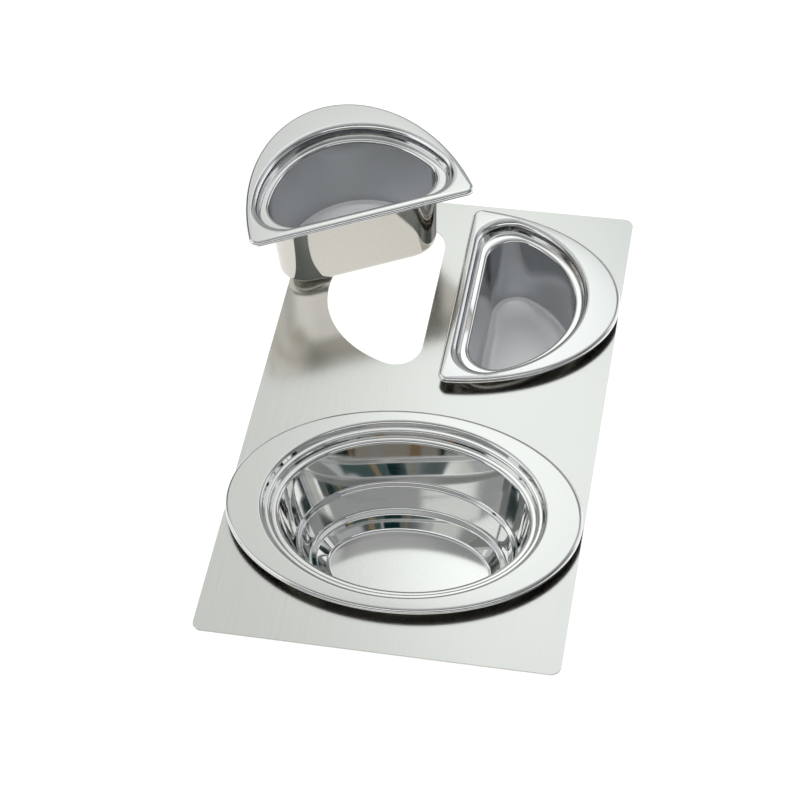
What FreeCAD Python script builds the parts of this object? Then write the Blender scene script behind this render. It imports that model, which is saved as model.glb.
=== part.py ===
import FreeCAD, Part
import math
import os

os.makedirs("parts", exist_ok=True)

# Insert plate: a flat stainless sheet of gastronorm 1/1 size.
# Its underside lies on z = 0, and the row's origin is the centre of that face.
plate_width = 325.0
plate_length = 530.0
plate_thickness = 1.5
plate_corner_radius = 9.0
plate_edge_break = 0.3

# Sheet and rim shared by the bowl and both dishes.
sheet = 1.0
flange_height = 13.0
seat_gap = 0.3
lip_height = 4.5
lip_radius = 2.0
arc_steps = 4

# Oval bowl: semi-axes of the flange's outer edge and of its inner edge.
bowl_centre_y = -119.4
bowl_rim_a = 162.3
bowl_rim_b = 110.0
bowl_mouth_a = 129.5
bowl_mouth_b = 96.5
bowl_depth = 102.0
bowl_cutout_offset = 11.0
bowl_upper_step = -6.0

# Half-oval dishes: an oval cut off by a straight side at x = chord. The rim's oval is
# centred on x = 0, and those of the mouth and the cut-out on x = dish_mouth_middle.
dish_centre_y = 140.0
dish_rim_a = 163.5
dish_rim_b = 110.5
dish_rim_chord = 5.0
dish_rim_corner = 9.0
dish_mouth_middle = 15.0
dish_mouth_a = 115.0
dish_mouth_b = 100.3
dish_mouth_chord = 15.5
dish_mouth_corner = 29.0
dish_depth = 104.0
dish_wall_foot = 13.2
dish_cutout_a = 106.8
dish_cutout_b = 92.3
dish_cutout_chord = 17.5
dish_cutout_corner = 25.0

# The left dish is lifted out, turned, and stands on the plate across its own cut-out.
lifted_centre_x = -76.9
lifted_centre_y = 135.5
lifted_turn_degrees = 116.0

plate_top = plate_thickness
flange_top = plate_top + flange_height
seat_level = seat_gap + sheet / 2 - flange_height

# Wall profiles, from the middle of the floor out to the mouth. Each entry is the offset
# inward from the mouth, the height of mid-sheet above the flange's top, and the bend radius.
bowl_profile = [
    (68.0, sheet / 2 - bowl_depth, 0.0),
    (52.5, sheet / 2 - bowl_depth, 5.0),
    (43.0, -88.3, 2.4),
    (37.4, -86.6, 3.4),
    (31.4, -60.4, 2.4),
    (27.2, -58.4, 3.4),
    (14.5, seat_level, 3.2),
    (8.4, seat_level, 2.0),
    (7.2, bowl_upper_step, 2.0),
    (3.0, bowl_upper_step, 1.8),
    (0.4, -sheet / 2, 3.2),
    (-9.0, -sheet / 2, 0.0),
]
dish_profile = [
    (34.0, sheet / 2 - dish_depth, 0.0),
    (dish_wall_foot, sheet / 2 - dish_depth, 12.0),
    (10.2, seat_level, 2.6),
    (2.4, seat_level, 2.4),
    (0.3, -sheet / 2, 5.5),
    (-8.0, -sheet / 2, 0.0),
]
lip_profile = [
    (6.0, -sheet / 2, 0.0),
    (sheet / 2, -sheet / 2, lip_radius - sheet / 2),
    (sheet / 2, -lip_height, 0.0),
]


def unit(start, end):
    """Return the unit direction from one profile point to the next."""
    ds = end[0] - start[0]
    dz = end[1] - start[1]
    length = math.hypot(ds, dz)
    return ds / length, dz / length


def bent_line(corners):
    """Return mid-sheet points of a profile with bent corners, each with its upper normal."""
    points = []
    for i in range(1, len(corners) - 1):
        s, z, radius = corners[i]
        d1 = unit(corners[i - 1], corners[i])
        d2 = unit(corners[i], corners[i + 1])
        n1 = (d1[1], -d1[0])
        n2 = (d2[1], -d2[0])
        turn = math.atan2(n1[0] * n2[1] - n1[1] * n2[0], n1[0] * n2[0] + n1[1] * n2[1])
        reach = radius * math.tan(abs(turn) / 2)
        side = 1.0 if d2[0] * n1[0] + d2[1] * n1[1] > 0 else -1.0
        centre_s = s - d1[0] * reach + side * radius * n1[0]
        centre_z = z - d1[1] * reach + side * radius * n1[1]
        for k in range(arc_steps + 1):
            angle = turn * k / arc_steps
            ns = n1[0] * math.cos(angle) - n1[1] * math.sin(angle)
            nz = n1[0] * math.sin(angle) + n1[1] * math.cos(angle)
            points.append((centre_s - side * radius * ns, centre_z - side * radius * nz, ns, nz))
    return points


def lip_line():
    """Return the mid-sheet points of the turned-down edge, ending at its free end."""
    points = bent_line(lip_profile)
    points.append((lip_profile[-1][0], lip_profile[-1][1], -1.0, 0.0))
    return points


def skin(points, side):
    """Return offset and height of one face of the sheet: +1 is the upper face, -1 the lower."""
    return [(p[0] + side * p[2] * sheet / 2, p[1] + side * p[3] * sheet / 2) for p in points]


def oval_wire(a, b, z):
    """Return an ellipse with its long axis along X."""
    ellipse = Part.Ellipse(FreeCAD.Vector(0, 0, z), a, b)
    return Part.Wire([ellipse.toShape()])


def half_oval_wire(middle, a, b, chord, corner, z):
    """Return the part beyond x = chord of an ellipse centred on x = middle, its corners round."""

    def touch(t):
        nx = math.cos(t) / a
        ny = math.sin(t) / b
        size = math.hypot(nx, ny)
        return middle + a * math.cos(t), b * math.sin(t), nx / size, ny / size

    low = 0.3
    high = math.pi / 2
    for _ in range(60):
        t = (low + high) / 2
        x, y, nx, ny = touch(t)
        if x - corner * nx > chord + corner:
            low = t
        else:
            high = t
    cx = chord + corner
    cy = y - corner * ny
    halfway = (math.pi + math.atan2(ny, nx)) / 2
    mx = cx + corner * math.cos(halfway)
    my = cy + corner * math.sin(halfway)
    ellipse = Part.Ellipse(FreeCAD.Vector(middle, 0, z), a, b)
    low_chord = FreeCAD.Vector(chord, -cy, z)
    high_chord = FreeCAD.Vector(chord, cy, z)
    low_touch = FreeCAD.Vector(x, -y, z)
    high_touch = FreeCAD.Vector(x, y, z)
    edges = [
        Part.LineSegment(high_chord, low_chord).toShape(),
        Part.Arc(low_chord, FreeCAD.Vector(mx, -my, z), low_touch).toShape(),
        Part.ArcOfEllipse(ellipse, -t, t).toShape(),
        Part.Arc(high_touch, FreeCAD.Vector(mx, my, z), high_chord).toShape(),
    ]
    return Part.Wire(edges)


def bowl_mouth_wire(offset, z):
    return oval_wire(bowl_mouth_a - offset, bowl_mouth_b - offset, z)


def bowl_rim_wire(offset, z):
    return oval_wire(bowl_rim_a - offset, bowl_rim_b - offset, z)


def dish_mouth_wire(offset, z):
    """Return the dish's outline at an offset. Its curved side has the wider bend to the floor."""
    a = dish_mouth_a - offset - max(0.0, offset - dish_wall_foot)
    b = dish_mouth_b - offset
    chord = dish_mouth_chord + offset
    return half_oval_wire(dish_mouth_middle, a, b, chord, dish_mouth_corner - 0.25 * offset, z)


def dish_rim_wire(offset, z):
    a = dish_rim_a - offset
    b = dish_rim_b - offset
    return half_oval_wire(0.0, a, b, dish_rim_chord + offset, dish_rim_corner - offset, z)


def bowl_cutout_wire(offset, z):
    return bowl_mouth_wire(bowl_cutout_offset + offset, z)


def dish_cutout_wire(offset, z):
    a = dish_cutout_a - offset
    b = dish_cutout_b - offset
    chord = dish_cutout_chord + offset
    return half_oval_wire(dish_mouth_middle, a, b, chord, dish_cutout_corner - offset, z)


def pressed(profile, mouth_wire, rim_wire):
    """Return a pressed sheet vessel with its flange's top on z = 0 and its oval centred."""
    wall = bent_line(profile)
    lip = lip_line()
    sections = [mouth_wire(s, z) for s, z in skin(wall, 1)]
    sections += [rim_wire(s, z) for s, z in skin(lip, 1)]
    sections += [rim_wire(s, z) for s, z in reversed(skin(lip, -1))]
    sections += [mouth_wire(s, z) for s, z in reversed(skin(wall, -1))]
    return Part.makeLoft(sections, True, True)


def opening(cutout_wire, centre_y):
    """Return the solid that cuts one opening, with its upper edge broken."""
    through = Part.Face(cutout_wire(0.0, -1)).extrude(FreeCAD.Vector(0, 0, plate_thickness + 2))
    low = cutout_wire(plate_edge_break, plate_top - 2 * plate_edge_break)
    high = cutout_wire(-2 * plate_edge_break, plate_top + plate_edge_break)
    tool = through.fuse(Part.makeLoft([low, high], True, True))
    tool.translate(FreeCAD.Vector(0, centre_y, 0))
    return tool


def make_plate():
    """Return the flat plate with its oval cut-out and its two half-oval cut-outs."""
    corner = FreeCAD.Vector(-plate_width / 2, -plate_length / 2, 0)
    plate = Part.makeBox(plate_width, plate_length, plate_thickness, corner)
    uprights = [e for e in plate.Edges if abs(e.Vertexes[0].Z - e.Vertexes[1].Z) > 0.5]
    plate = plate.makeFillet(plate_corner_radius, uprights)
    outer_edges = [e for e in plate.Edges if e.BoundBox.ZMin > plate_top - 0.01]
    plate = plate.makeChamfer(plate_edge_break, outer_edges)
    oval = opening(bowl_cutout_wire, bowl_centre_y)
    right = opening(dish_cutout_wire, dish_centre_y)
    left = right.mirror(FreeCAD.Vector(0, 0, 0), FreeCAD.Vector(1, 0, 0))
    return plate.cut(oval).cut(right).cut(left).Solids[0]


def save(name, shape):
    print(name, shape.isValid(), round(shape.Volume), shape.optimalBoundingBox())
    shape.exportStep("parts/" + name + ".step")


bowl = pressed(bowl_profile, bowl_mouth_wire, bowl_rim_wire)
bowl.translate(FreeCAD.Vector(0, bowl_centre_y, flange_top))

right_dish = pressed(dish_profile, dish_mouth_wire, dish_rim_wire)
left_dish = right_dish.copy()
right_dish.translate(FreeCAD.Vector(0, dish_centre_y, flange_top))
left_dish.rotate(FreeCAD.Vector(0, 0, 0), FreeCAD.Vector(0, 0, 1), lifted_turn_degrees)
left_dish.translate(FreeCAD.Vector(lifted_centre_x, lifted_centre_y, plate_top + seat_gap + dish_depth))

save("insert_plate", make_plate())
save("oval_bowl", bowl)
save("right_dish", right_dish)
save("left_dish", left_dish)
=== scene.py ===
import math

import bpy
from mathutils import Matrix, Quaternion, Vector


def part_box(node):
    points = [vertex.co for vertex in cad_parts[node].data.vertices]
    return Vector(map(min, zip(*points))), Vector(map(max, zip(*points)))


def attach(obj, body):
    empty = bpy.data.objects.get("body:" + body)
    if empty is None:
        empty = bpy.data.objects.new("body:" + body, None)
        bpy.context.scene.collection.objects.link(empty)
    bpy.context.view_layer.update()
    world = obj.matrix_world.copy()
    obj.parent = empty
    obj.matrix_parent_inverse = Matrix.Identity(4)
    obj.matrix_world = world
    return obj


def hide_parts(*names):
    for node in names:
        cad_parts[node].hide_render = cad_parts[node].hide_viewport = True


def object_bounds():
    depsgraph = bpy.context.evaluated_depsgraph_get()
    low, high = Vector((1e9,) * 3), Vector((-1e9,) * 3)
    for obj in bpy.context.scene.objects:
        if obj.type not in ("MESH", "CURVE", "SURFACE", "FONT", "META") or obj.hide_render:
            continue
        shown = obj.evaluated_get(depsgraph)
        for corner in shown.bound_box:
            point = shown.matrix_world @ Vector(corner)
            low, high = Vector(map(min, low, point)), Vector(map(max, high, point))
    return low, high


# A drop-in steel insert: a flat plate with an oval bowl and two half-oval dishes, the left one
# lifted out and stood across its cut-out. The three vessels are finer meshes of the same
# pressed profiles as the CAD's, and the plate keeps its CAD mesh.

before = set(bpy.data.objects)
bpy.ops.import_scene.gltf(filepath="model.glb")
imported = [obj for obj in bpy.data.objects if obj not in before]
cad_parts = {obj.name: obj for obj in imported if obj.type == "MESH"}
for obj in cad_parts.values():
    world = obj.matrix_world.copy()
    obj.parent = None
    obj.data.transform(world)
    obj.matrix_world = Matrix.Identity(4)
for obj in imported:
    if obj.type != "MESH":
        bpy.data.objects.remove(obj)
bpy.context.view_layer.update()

# ---------------------------------------------------------------- driving dimensions (mm)
MM = 0.001
SHEET = 1.0
FLANGE_LEVEL = -SHEET / 2
SEAT_LEVEL = -12.2
BOWL_FLOOR_LEVEL = -101.5
BOWL_UPPER_STEP_LEVEL = -6.0
DISH_FLOOR_LEVEL = -103.5

# semi-axes of the oval bowl's mouth and of its flange's outer edge
BOWL_MOUTH = (129.5, 96.5)
BOWL_RIM = (162.3, 110.0)

# half-oval dishes: the semi-axes of each oval, the x of its straight side and its corners
DISH_MOUTH_MIDDLE = 15.0
DISH_MOUTH = (115.0, 100.3)
DISH_MOUTH_CHORD = 15.5
DISH_MOUTH_CORNER = 29.0
DISH_WALL_FOOT = 13.2
DISH_RIM = (163.5, 110.5)
DISH_RIM_CHORD = 5.0
DISH_RIM_CORNER = 9.0

# how much of each millimetre of offset the corners of a dish's wall lose in radius
DISH_CORNER_LOSS = 0.25

# where the vessels lie on the plate (m), and how far the lifted dish is turned
BOWL_CENTRE_Y = -0.1194
RIGHT_DISH_CENTRE_Y = 0.140
LEFT_DISH_CENTRE = (-0.0769, 0.1355)
LEFT_DISH_TURN = math.radians(116.0)

# Wall profiles from the middle of the floor out to the flange: the offset inward from the
# mouth, the height of mid-sheet above the flange's top, and the bend radius.
BOWL_PROFILE = [
    (68.0, BOWL_FLOOR_LEVEL, 0.0),
    (52.5, BOWL_FLOOR_LEVEL, 5.0),
    (43.0, -88.3, 2.4),
    (37.4, -86.6, 3.4),
    (31.4, -60.4, 2.4),
    (27.2, -58.4, 3.4),
    (14.5, SEAT_LEVEL, 3.2),
    (8.4, SEAT_LEVEL, 2.0),
    (7.2, BOWL_UPPER_STEP_LEVEL, 2.0),
    (3.0, BOWL_UPPER_STEP_LEVEL, 1.8),
    (0.4, FLANGE_LEVEL, 3.2),
    (-9.0, FLANGE_LEVEL, 0.0),
]
DISH_PROFILE = [
    (34.0, DISH_FLOOR_LEVEL, 0.0),
    (DISH_WALL_FOOT, DISH_FLOOR_LEVEL, 12.0),
    (10.2, SEAT_LEVEL, 2.6),
    (2.4, SEAT_LEVEL, 2.4),
    (0.3, FLANGE_LEVEL, 5.5),
    (-8.0, FLANGE_LEVEL, 0.0),
]

# The flange slopes down a little to its turned-down edge. These offsets run from the rim.
LIP_LEVEL = -0.7
LIP_END_LEVEL = -4.5
LIP_PROFILE = [
    (8.0, LIP_LEVEL, 0.0),
    (SHEET / 2, LIP_LEVEL, 3.2),
    (SHEET / 2, LIP_END_LEVEL, 0.0),
]

# height of the narrow ring of faces that keeps the edge's free end crisp
LIP_EDGE = 0.25

# fineness of the meshes: steps in each bend, and points round each outline
ARC_STEPS = 7
OVAL_POINTS = 240
CHORD_POINTS = 28
CORNER_POINTS = 16
CURVE_POINTS = 128

# the search for where a round corner meets the oval: its first angle and its halvings
CORNER_FIRST_ANGLE = 0.3
CORNER_HALVINGS = 60

# zones of a vessel's surface, which are also its material slots
FLOOR, WALL, STEP, FLANGE, OUTSIDE = range(5)


# ---------------------------------------------------------------- outlines and profiles
def bent_line(corners):
    """Return the mid-sheet points of a bent profile, each with its upper normal."""
    points = []
    for i in range(1, len(corners) - 1):
        before, here, after = corners[i - 1], corners[i], corners[i + 1]
        d1 = Vector((here[0] - before[0], here[1] - before[1])).normalized()
        d2 = Vector((after[0] - here[0], after[1] - here[1])).normalized()
        n1 = Vector((d1.y, -d1.x))
        n2 = Vector((d2.y, -d2.x))
        turn = math.atan2(n1.x * n2.y - n1.y * n2.x, n1.dot(n2))
        reach = here[2] * math.tan(abs(turn) / 2)
        side = 1.0 if d2.dot(n1) > 0 else -1.0
        start = Vector((here[0], here[1])) - d1 * reach
        centre = start + n1 * side * here[2]
        for k in range(ARC_STEPS + 1):
            angle = turn * k / ARC_STEPS
            n = Vector((n1.x * math.cos(angle) - n1.y * math.sin(angle),
                        n1.x * math.sin(angle) + n1.y * math.cos(angle)))
            points.append((centre - n * side * here[2], n))
    return points


def lip_line():
    """Return the points of the turned-down edge, with one more just before its free end."""
    points = bent_line(LIP_PROFILE)
    end = Vector(LIP_PROFILE[-1][:2])
    outward = Vector((-1.0, 0.0))
    return points + [(end + Vector((0.0, LIP_EDGE)), outward), (end, outward)]


def oval_ring(a, b):
    """Return points round an ellipse."""
    angles = [2 * math.pi * k / OVAL_POINTS for k in range(OVAL_POINTS)]
    return [Vector((a * math.cos(t), b * math.sin(t))) for t in angles]


def half_oval_ring(middle, a, b, chord, corner):
    """Return points round the part of an ellipse beyond x = chord, with round corners."""

    def touch(t):
        n = Vector((math.cos(t) / a, math.sin(t) / b)).normalized()
        return Vector((middle + a * math.cos(t), b * math.sin(t))), n

    low, high = CORNER_FIRST_ANGLE, math.pi / 2
    for _ in range(CORNER_HALVINGS):
        last = (low + high) / 2
        p, n = touch(last)
        if p.x - corner * n.x > chord + corner:
            low = last
        else:
            high = last
    centre = p - n * corner
    end = math.atan2(n.y, n.x)

    def corner_point(y, angle):
        return Vector((centre.x + corner * math.cos(angle), y + corner * math.sin(angle)))

    ring = []
    for k in range(CHORD_POINTS):
        ring.append(Vector((chord, centre.y - 2 * centre.y * k / CHORD_POINTS)))
    for k in range(CORNER_POINTS):
        ring.append(corner_point(-centre.y, -math.pi + (math.pi - end) * k / CORNER_POINTS))
    for k in range(CURVE_POINTS):
        ring.append(touch(-last + 2 * last * k / CURVE_POINTS)[0])
    for k in range(CORNER_POINTS):
        ring.append(corner_point(centre.y, end + (math.pi - end) * k / CORNER_POINTS))
    return ring


def bowl_mouth(offset):
    """Return the oval bowl's mouth, shrunk by an offset."""
    return oval_ring(BOWL_MOUTH[0] - offset, BOWL_MOUTH[1] - offset)


def bowl_rim(offset):
    """Return the outer edge of the oval bowl's flange, shrunk by an offset."""
    return oval_ring(BOWL_RIM[0] - offset, BOWL_RIM[1] - offset)


def dish_mouth(offset):
    """Return a dish's mouth, shrunk by an offset. Its curved side bends wider to the floor."""
    a = DISH_MOUTH[0] - offset - max(0.0, offset - DISH_WALL_FOOT)
    b = DISH_MOUTH[1] - offset
    corner = DISH_MOUTH_CORNER - DISH_CORNER_LOSS * offset
    return half_oval_ring(DISH_MOUTH_MIDDLE, a, b, DISH_MOUTH_CHORD + offset, corner)


def dish_rim(offset):
    """Return the outer edge of a dish's flange, shrunk by an offset."""
    a = DISH_RIM[0] - offset
    b = DISH_RIM[1] - offset
    return half_oval_ring(0.0, a, b, DISH_RIM_CHORD + offset, DISH_RIM_CORNER - offset)


# ---------------------------------------------------------------- pressed vessels
def sheet_sections(profile, mouth, rim):
    """Return a vessel's rings: the outline, the offset and height, and the zone.

    They run from the floor up the inside, over the flange, and back down the outside.
    """
    wall = bent_line(profile)
    lip = lip_line()
    half = SHEET / 2
    bend = ARC_STEPS + 1
    wall_from = bend
    step_from = len(wall) - 3 * bend + 1
    flange_from = len(wall) - bend + 1
    sections = []
    for k, (p, n) in enumerate(wall):
        zone = sum((k >= wall_from, k >= step_from, k >= flange_from))
        sections.append((mouth, p + n * half, zone))
    sections += [(rim, p + n * half, FLANGE) for p, n in lip]
    sections += [(rim, p - n * half, OUTSIDE) for p, n in reversed(lip)]
    sections += [(mouth, p - n * half, OUTSIDE) for p, n in reversed(wall)]
    return sections


def sheet_faces(sections):
    """Return the vertices, the faces and each face's zone: the rings, closed by two fans."""
    verts = []
    for outline, p, _ in sections:
        verts += [Vector((q.x, q.y, p.y)) for q in outline(p.x)]
    count = len(verts) // len(sections)
    faces, zones = [], []
    for i in range(len(sections) - 1):
        for k in range(count):
            j = (k + 1) % count
            faces.append((i * count + k, (i + 1) * count + k, (i + 1) * count + j, i * count + j))
            zones.append(max(sections[i][2], sections[i + 1][2]))
    middle = sum(verts[:count], Vector()) / count
    underside = len(verts) - count
    for start, zone in ((0, FLOOR), (underside, OUTSIDE)):
        centre = len(verts)
        verts.append(Vector((middle.x, middle.y, verts[start].z)))
        for k in range(count):
            j = (k + 1) % count
            edge = (start + k, start + j) if zone == FLOOR else (start + j, start + k)
            faces.append((centre, *edge))
            zones.append(zone)
    return verts, faces, zones


def area_normals(verts, faces):
    """Return the normal at each vertex, weighted by the area of the faces around it."""
    normals = [Vector() for _ in verts]
    for face in faces:
        if len(face) == 4:
            cross = (verts[face[2]] - verts[face[0]]).cross(verts[face[3]] - verts[face[1]])
        else:
            cross = (verts[face[1]] - verts[face[0]]).cross(verts[face[2]] - verts[face[0]])
        for v in face:
            normals[v] += cross
    return [n.normalized() for n in normals]


def vessel(name, profile, mouth, rim, place, materials):
    """Build a pressed vessel. It takes one material for each zone of its surface."""
    verts, faces, zones = sheet_faces(sheet_sections(profile, mouth, rim))
    verts = [place @ (v * MM) for v in verts]
    mesh = bpy.data.meshes.new(name)
    mesh.from_pydata(verts, [], faces)
    for material in materials:
        mesh.materials.append(material)
    mesh.polygons.foreach_set("material_index", zones)
    mesh.polygons.foreach_set("use_smooth", [True] * len(faces))
    mesh.update()
    mesh.normals_split_custom_set_from_vertices(area_normals(verts, faces))
    piece = bpy.data.objects.new(name, mesh)
    bpy.context.scene.collection.objects.link(piece)
    return piece


# ---------------------------------------------------------------- materials
# the grain's bump height (m) and the clouds' scale, the spread of the colour, the part of the
# noise that is used, and how clouds and grain share the span of roughness
GRAIN_BUMP_HEIGHT = 0.0001
CLOUD_SCALE = 14.0
COLOUR_SPREAD = (0.97, 1.02)
NOISE_SPAN = (0.3, 0.7)
CLOUD_SHARE = 0.5
GLOSS_SPAN = (0.2, 0.8)


def noise(nodes, links, coords, scale, detail, rough=0.5, stretch=(1, 1, 1)):
    """Add a noise texture on stretched coordinates and return its output."""
    mapping = nodes.new("ShaderNodeMapping")
    mapping.inputs["Scale"].default_value = stretch
    links.new(coords, mapping.inputs["Vector"])
    tex = nodes.new("ShaderNodeTexNoise")
    tex.inputs["Scale"].default_value = scale
    tex.inputs["Detail"].default_value = detail
    tex.inputs["Roughness"].default_value = rough
    links.new(mapping.outputs["Vector"], tex.inputs["Vector"])
    return tex.outputs["Fac"]


def remap(nodes, links, value, from_span, to_span):
    """Add a node that maps one span of values onto another and return its output."""
    node = nodes.new("ShaderNodeMapRange")
    node.inputs["From Min"].default_value = from_span[0]
    node.inputs["From Max"].default_value = from_span[1]
    node.inputs["To Min"].default_value = to_span[0]
    node.inputs["To Max"].default_value = to_span[1]
    links.new(value, node.inputs["Value"])
    return node.outputs["Result"]


def steel(name, base, rough, grain, grain_bump, wave, wave_scale, metallic=1.0):
    """Stainless sheet: fine grain, cloudy gloss, and the slow waviness of a pressed surface.

    rough is the span of roughness, grain the fineness of the grain along x, y and z,
    and wave the height of the waviness in metres.
    """
    material = bpy.data.materials.new(name)
    material.use_nodes = True
    nodes, links = material.node_tree.nodes, material.node_tree.links
    shader = nodes["Principled BSDF"]
    shader.inputs["Metallic"].default_value = metallic
    coords = nodes.new("ShaderNodeTexCoord").outputs["Object"]
    streak = noise(nodes, links, coords, 1.0, 4.0, 0.6, grain)
    cloud = noise(nodes, links, coords, CLOUD_SCALE, 3.0)

    gloss = nodes.new("ShaderNodeMath")
    gloss.operation = "MULTIPLY_ADD"
    links.new(cloud, gloss.inputs[0])
    gloss.inputs[1].default_value = CLOUD_SHARE
    links.new(remap(nodes, links, streak, NOISE_SPAN, (0.0, 1 - CLOUD_SHARE)), gloss.inputs[2])
    roughness = remap(nodes, links, gloss.outputs[0], GLOSS_SPAN, rough)
    links.new(roughness, shader.inputs["Roughness"])

    tint = nodes.new("ShaderNodeMix")
    tint.data_type = "RGBA"
    for socket, spread in zip("AB", COLOUR_SPREAD):
        tint.inputs[socket].default_value = tuple(min(1.0, c * spread) for c in base) + (1,)
    links.new(remap(nodes, links, streak, NOISE_SPAN, (0.0, 1.0)), tint.inputs["Factor"])
    links.new(tint.outputs["Result"], shader.inputs["Base Color"])

    fine = nodes.new("ShaderNodeBump")
    fine.inputs["Strength"].default_value = grain_bump
    fine.inputs["Distance"].default_value = GRAIN_BUMP_HEIGHT
    links.new(streak, fine.inputs["Height"])
    slow = nodes.new("ShaderNodeBump")
    slow.inputs["Distance"].default_value = wave
    links.new(noise(nodes, links, coords, wave_scale, 1.0), slow.inputs["Height"])
    links.new(fine.outputs["Normal"], slow.inputs["Normal"])
    links.new(slow.outputs["Normal"], shader.inputs["Normal"])
    return material


# fineness of the grain along x, y and z
BRUSHED_ALONG_Y = (900, 12, 900)
SATIN_GRAIN = (500, 500, 500)
BRIGHT_GRAIN = (400, 400, 400)

plate_steel = steel("plate_satin_steel", (0.76, 0.76, 0.745), (0.17, 0.20),
                    BRUSHED_ALONG_Y, grain_bump=0.02, wave=0.0001, wave_scale=6.0)
flange_steel = steel("flange_satin_steel", (0.80, 0.80, 0.79), (0.15, 0.17),
                     SATIN_GRAIN, grain_bump=0.01, wave=0.00005, wave_scale=8.0)
# the dishes' flanges get a lighter copy of the flange steel: a painted highlight that makes them look
# more brightly lit
dish_flange_painted_light_steel = steel("dish_flange_painted_light_steel", (0.84, 0.84, 0.84), (0.16, 0.18),
                          SATIN_GRAIN, grain_bump=0.01, wave=0.00005, wave_scale=8.0)
base_steel = steel("bowl_base_steel", (0.80, 0.80, 0.79), (0.09, 0.11),
                   BRIGHT_GRAIN, grain_bump=0.01, wave=0.0001, wave_scale=10.0)
polished_steel = steel("polished_steel", (0.80, 0.80, 0.79), (0.03, 0.05),
                       BRIGHT_GRAIN, grain_bump=0.005, wave=0.0001, wave_scale=14.0)
step_steel = steel("dish_step_steel", (0.80, 0.80, 0.80), (0.09, 0.12),
                   BRIGHT_GRAIN, grain_bump=0.005, wave=0.0001, wave_scale=14.0)
# the dishes' inner walls get a darker, slightly blue-grey base: painted shade for the shade and dark
# reflections inside the dishes
painted_shade_satin_steel = steel("dish_satin_painted_shade_steel", (0.50, 0.515, 0.52), (0.17, 0.21),
                    SATIN_GRAIN, grain_bump=0.005, wave=0.0001, wave_scale=12.0)
dish_floor_steel = steel("dish_floor_steel", (0.90, 0.90, 0.92), (0.42, 0.47),
                         SATIN_GRAIN, grain_bump=0.01, wave=0.0001, wave_scale=12.0, metallic=0.55)
# the outsides get a darker, warm base: painted shade for the shaded floor under the plate that they
# mirror
painted_shade_outside_steel = steel("outside_bright_painted_shade_steel", (0.57, 0.55, 0.50), (0.05, 0.08),
                      BRIGHT_GRAIN, grain_bump=0.005, wave=0.0001, wave_scale=10.0)

BOWL_STEELS = (base_steel, polished_steel, polished_steel, flange_steel, painted_shade_outside_steel)
DISH_STEELS = (dish_floor_steel, painted_shade_satin_steel, step_steel, dish_flange_painted_light_steel, painted_shade_outside_steel)

# ---------------------------------------------------------------- the object
flange_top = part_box("oval_bowl")[1][2]
dish_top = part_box("left_dish")[1][2]
bowl_place = Matrix.Translation((0, BOWL_CENTRE_Y, flange_top))
right_place = Matrix.Translation((0, RIGHT_DISH_CENTRE_Y, flange_top))
left_place = Matrix.Translation((*LEFT_DISH_CENTRE, dish_top)) @ Matrix.Rotation(LEFT_DISH_TURN, 4, "Z")

bowl = vessel("oval_bowl_sheet", BOWL_PROFILE, bowl_mouth, bowl_rim, bowl_place, BOWL_STEELS)
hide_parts("oval_bowl")
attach(bowl, "bowl")
right = vessel("right_dish_sheet", DISH_PROFILE, dish_mouth, dish_rim, right_place, DISH_STEELS)
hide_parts("right_dish")
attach(right, "dish_right")
left = vessel("left_dish_sheet", DISH_PROFILE, dish_mouth, dish_rim, left_place, DISH_STEELS)
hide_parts("left_dish")
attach(left, "dish_left")

# the plate takes the brushed steel
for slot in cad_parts["insert_plate"].material_slots:
    slot.material = plate_steel

# ---------------------------------------------------------------- studio floor (m)
STAGE_HALF_SIDE = 6.0
STAGE_GAP = 0.001
STAGE_GREY = 0.25
STAGE_ROUGHNESS = 0.9
STAGE_GLOW = 0.90

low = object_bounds()[0][2] - STAGE_GAP
signs = ((-1, -1), (1, -1), (1, 1), (-1, 1))
corners = [(x * STAGE_HALF_SIDE, y * STAGE_HALF_SIDE, low) for x, y in signs]
floor_mesh = bpy.data.meshes.new("floor")
floor_mesh.from_pydata(corners, [], [(0, 1, 2, 3)])
floor = bpy.data.objects.new("floor", floor_mesh)
bpy.context.scene.collection.objects.link(floor)
pale = bpy.data.materials.new("pale_floor")
pale.use_nodes = True
pale_shader = pale.node_tree.nodes["Principled BSDF"]
pale_shader.inputs["Base Color"].default_value = (STAGE_GREY, STAGE_GREY, STAGE_GREY, 1)
pale_shader.inputs["Roughness"].default_value = STAGE_ROUGHNESS
pale_shader.inputs["Emission Color"].default_value = (1, 1, 1, 1)
pale_shader.inputs["Emission Strength"].default_value = STAGE_GLOW
floor_mesh.materials.append(pale)

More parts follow.
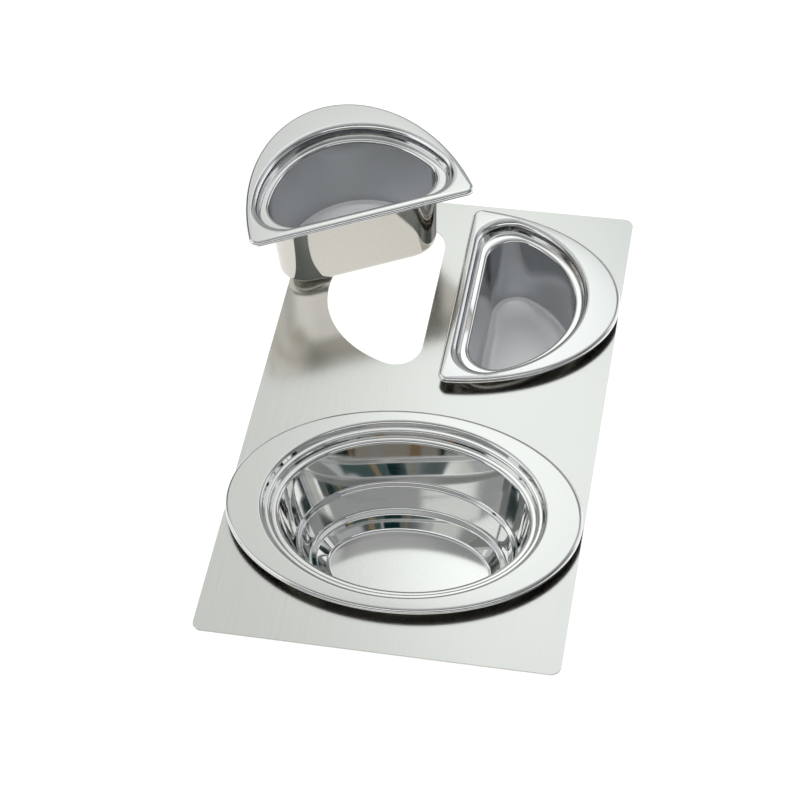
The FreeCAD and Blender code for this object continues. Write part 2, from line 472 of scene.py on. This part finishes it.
# ---------------------------------------------------------------- studio light
# The steel mirrors its surroundings, so the studio is a grey room hung with panels of light
# and shade. Each has its bearings (from +Y towards +X) and heights in degrees, the softness
# of its edge and its colour. Later panels lie over earlier ones.
ROOM_GREY = (0.34, 0.35, 0.35)
BACKDROP = (0.97, 0.97, 0.97, 1)
STUDIO_PANELS = [
    # in front: a dark band with brown and grey bars, and a bright strip under a dark one
    ((100, 260), (16, 33), 3, (0.006, 0.014, 0.014)),
    ((158, 202), (21, 34), 2, (0.30, 0.28, 0.24)),
    ((150, 155), (4, 33), 1, (0.30, 0.31, 0.30)),
    ((166, 171), (8, 33), 1, (0.22, 0.16, 0.09)),
    ((184, 192), (12, 33), 1, (0.30, 0.30, 0.29)),
    ((203, 207), (6, 33), 1, (0.20, 0.15, 0.09)),
    ((125, 238), (46, 62), 2, (0.03, 0.05, 0.05)),
    ((132, 238), (36, 48), 1.5, (1.55, 1.57, 1.60)),
    # high on the right
    ((75, 125), (58, 79), 3, (0.26, 0.27, 0.27)),
    # on the left: a bright window with a dark bar, under a grey ceiling
    ((-120, -60), (44, 61), 3, (0.60, 0.62, 0.65)),
    ((-132, -74), (10, 46), 2, (1.10, 1.12, 1.12)),
    ((-99, -96), (0, 60), 1, (0.05, 0.07, 0.07)),
    # on the right: a bright window under a dark band
    ((40, 74), (-10, 38.5), 1.5, (1.00, 1.00, 1.04)),
    ((60, 104), (40, 56), 2, (0.07, 0.09, 0.09)),
    # behind: low walls, then the ceiling with its brightest part just left of the middle
    ((-42, 14), (-20, 30), 3, (0.30, 0.31, 0.31)),
    ((-64, -42), (12, 33), 2, (0.010, 0.030, 0.030)),
    ((-60, 70), (60, 80), 3, (0.66, 0.67, 0.67)),
    ((-4, 60), (30, 61), 2, (0.50, 0.51, 0.53)),
    ((-58, -4), (34, 61.5), 1.5, (0.71, 0.73, 0.70)),
    ((-16, -1), (45, 61), 4, (1.26, 1.31, 1.28)),
    ((-9, 5), (53, 62), 3, (1.10, 1.14, 1.12)),
    # behind: a dark teal window with darker panes and brown bars
    ((-3.5, 34), (41.5, 48.5), 0.6, (0.10, 0.13, 0.13)),
    ((24, 34), (37.5, 48.5), 0.6, (0.06, 0.10, 0.10)),
    ((14, 23), (39, 48.5), 0.6, (0.002, 0.022, 0.022)),
    ((9, 11.5), (41.5, 48.5), 0.5, (0.20, 0.16, 0.10)),
    ((27, 29), (37.5, 50), 0.5, (0.26, 0.20, 0.12)),
    # straight above
    ((-180, 180), (80, 100), 4, (0.48, 0.49, 0.49)),
]

world = bpy.data.worlds.new("studio")
bpy.context.scene.world = world
world.use_nodes = True
studio_nodes, studio_links = world.node_tree.nodes, world.node_tree.links
axes = studio_nodes.new("ShaderNodeSeparateXYZ")
studio_links.new(studio_nodes.new("ShaderNodeTexCoord").outputs["Generated"], axes.inputs[0])


def studio_math(operation, *values):
    """Add a maths node to the studio and return its output."""
    node = studio_nodes.new("ShaderNodeMath")
    node.operation = operation
    for socket, value in zip(node.inputs, values):
        if isinstance(value, float):
            socket.default_value = value
        else:
            studio_links.new(value, socket)
    return node.outputs[0]


bearing = studio_math("ARCTAN2", axes.outputs["X"], axes.outputs["Y"])
height = studio_math("ARCSINE", axes.outputs["Z"])


def inside(angle, span, soft):
    """Return how far an angle lies inside a span given in degrees, with soft ends."""
    half = (span[1] - span[0]) / 2
    off = studio_math("SUBTRACT", angle, math.radians(sum(span) / 2))
    off = studio_math("ABSOLUTE", studio_math("WRAP", off, math.pi, -math.pi))
    edge = studio_nodes.new("ShaderNodeMapRange")
    edge.interpolation_type = "SMOOTHSTEP"
    edge.inputs["From Min"].default_value = math.radians(half + soft)
    edge.inputs["From Max"].default_value = math.radians(half - soft)
    studio_links.new(off, edge.inputs["Value"])
    return edge.outputs["Result"]


def panel(bearings, heights, soft, colour, below):
    """Lay a panel over the studio below it, which is a colour or an earlier panel."""
    across = inside(bearing, bearings, soft)
    upright = inside(height, heights, soft)
    mix = studio_nodes.new("ShaderNodeMix")
    mix.data_type = "RGBA"
    studio_links.new(studio_math("MULTIPLY", across, upright), mix.inputs["Factor"])
    if isinstance(below, tuple):
        mix.inputs["A"].default_value = below + (1,)
    else:
        studio_links.new(below, mix.inputs["A"])
    mix.inputs["B"].default_value = colour + (1,)
    return mix.outputs["Result"]


sky = ROOM_GREY
for bearings, heights, soft, colour in STUDIO_PANELS:
    sky = panel(bearings, heights, soft, colour, sky)

# the camera itself sees a plain backdrop, and everything else sees the studio
room = studio_nodes["Background"]
studio_links.new(sky, room.inputs["Color"])
plain = studio_nodes.new("ShaderNodeBackground")
plain.inputs["Color"].default_value = BACKDROP
choose = studio_nodes.new("ShaderNodeMixShader")
path = studio_nodes.new("ShaderNodeLightPath")
studio_links.new(path.outputs["Is Camera Ray"], choose.inputs["Fac"])
studio_links.new(room.outputs["Background"], choose.inputs[1])
studio_links.new(plain.outputs["Background"], choose.inputs[2])
studio_links.new(choose.outputs["Shader"], studio_nodes["World Output"].inputs["Surface"])

# a wide softbox overhead, which faces straight down and isn't mirrored in the steel
SOFTBOX_HEIGHT = 2.6
SOFTBOX_SIDE = 3.5
SOFTBOX_WATTS = 60.0

softbox = bpy.data.lights.new("overhead_fill", "AREA")
softbox.shape = "RECTANGLE"
softbox.size = SOFTBOX_SIDE
softbox.size_y = SOFTBOX_SIDE
softbox.energy = SOFTBOX_WATTS
lamp = bpy.data.objects.new("overhead_fill", softbox)
lamp.location = (0, 0, SOFTBOX_HEIGHT)
lamp.rotation_euler = Vector((0, 0, -SOFTBOX_HEIGHT)).to_track_quat("-Z", "Y").to_euler()
lamp.visible_glossy = False
bpy.context.scene.collection.objects.link(lamp)

# ---------------------------------------------------------------- camera
CAMERA_PLACE = (0.30331, -1.23189, 1.62522)
CAMERA_TURN = Quaternion((0.941384, 0.323287, 0.058406, 0.076614))
CAMERA_LENS = 99.39
CAMERA_SENSOR = 36.0

camera_data = bpy.data.cameras.new("camera")
camera_data.sensor_width = CAMERA_SENSOR
camera_data.lens = CAMERA_LENS
camera = bpy.data.objects.new("camera", camera_data)
camera.location = CAMERA_PLACE
camera.rotation_mode = "QUATERNION"
camera.rotation_quaternion = CAMERA_TURN
bpy.context.scene.collection.objects.link(camera)
bpy.context.scene.camera = camera
bpy.context.scene.view_settings.view_transform = "Standard"
